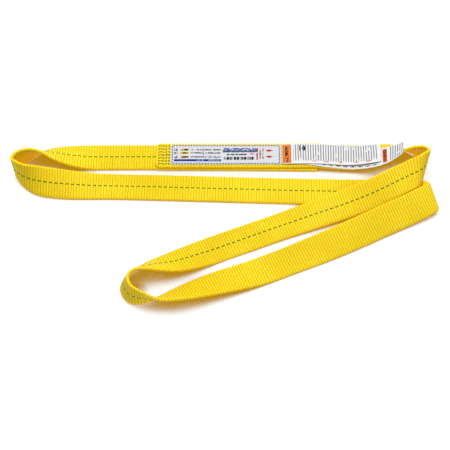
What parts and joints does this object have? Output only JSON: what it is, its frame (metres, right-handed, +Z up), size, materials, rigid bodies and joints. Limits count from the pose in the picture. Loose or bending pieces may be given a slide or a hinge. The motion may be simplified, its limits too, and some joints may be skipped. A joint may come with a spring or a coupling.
{
  "type": "endless web sling",
  "caption": "Flat endless lifting sling of yellow webbing, lapped and sewn into a loop, with a sewn capacity tag and warning leaves, laid down and folded over once.",
  "frame": {"origin": "middle of the splice's underside, on the ground the sling rests on", "axes": "+X along the splice, towards the end the sling is folded at; +Y from the folded half towards the splice; +Z up"},
  "size_m": [0.7288, 0.335, 0.0557],
  "materials": {
    "web": "ribbed woven polyester, satin",
    "core_yarn": "matte yarn",
    "tracer_yarn": "matte yarn",
    "thread": "matte thread",
    "tag": "satin printed film",
    "leaf": "matte printed film"
  },
  "bodies": {
    "laid_half": {"web_far_run": "web", "core_far_run": "core_yarn", "tracer_far_run": "tracer_yarn", "web_near_run": "web", "core_near_run": "core_yarn", "tracer_near_run": "tracer_yarn", "web_right_fold": "web", "core_right_fold": "core_yarn", "tracer_right_fold": "tracer_yarn", "web_right_bight": "web", "core_right_bight": "core_yarn", "tracer_right_bight": "tracer_yarn", "web_return_run": "web", "core_return_run": "core_yarn", "tracer_return_run": "tracer_yarn", "web_splice_top": "web", "core_splice_top": "core_yarn", "tracer_splice_top": "tracer_yarn", "splice_thread": "thread", "capacity_tag": "tag", "tag_thread": "thread", "leaf_tab": "leaf", "leaf_thread": "thread", "leaf_inner": "leaf"},
    "left_loop": {"web_left_bight": "web", "core_left_bight": "core_yarn", "tracer_left_bight": "tracer_yarn"},
    "folded_half": {"web_lower_leg": "web", "core_lower_leg": "core_yarn", "tracer_lower_leg": "tracer_yarn", "web_upper_leg": "web", "core_upper_leg": "core_yarn", "tracer_upper_leg": "tracer_yarn"},
    "folded_loop": {"web_folded_bight": "web", "core_folded_bight": "core_yarn", "tracer_folded_bight": "tracer_yarn"},
    "upper_leaf": {"leaf_upper": "leaf"},
    "lower_leaf": {"leaf_lower": "leaf"}
  },
  "joints": [
    {"name": "left_bight_lift", "type": "hinge", "parent": "laid_half", "child": "left_loop", "pos_m": [-0.215, 0, 0.005], "axis": [0, 1, 0], "range_deg": [0, 90]},
    {"name": "fold_open", "type": "hinge", "parent": "laid_half", "child": "folded_half", "pos_m": [0.326, -0.087, 0.0095], "axis": [-0.2419, 0.9703, 0], "range_deg": [0, 90], "deforming": ["web_right_fold", "core_right_fold", "tracer_right_fold", "web_right_bight", "core_right_bight", "tracer_right_bight"]},
    {"name": "folded_bight_lift", "type": "hinge", "parent": "folded_half", "child": "folded_loop", "pos_m": [0.02, -0.1645, 0.006], "axis": [-0.3746, 0.9272, 0], "range_deg": [0, 90]},
    {"name": "upper_leaf_turn", "type": "hinge", "parent": "laid_half", "child": "upper_leaf", "pos_m": [0.088, 0, 0.014], "axis": [0, -1, 0], "range_deg": [0, 150]},
    {"name": "lower_leaf_turn", "type": "hinge", "parent": "laid_half", "child": "lower_leaf", "pos_m": [0.088, 0, 0.014], "axis": [0, -1, 0], "range_deg": [0, 120]}
  ],
  "couplings": [
    {"joint": "lower_leaf_turn", "follows": "upper_leaf_turn", "ratio": 0.8}
  ]
}
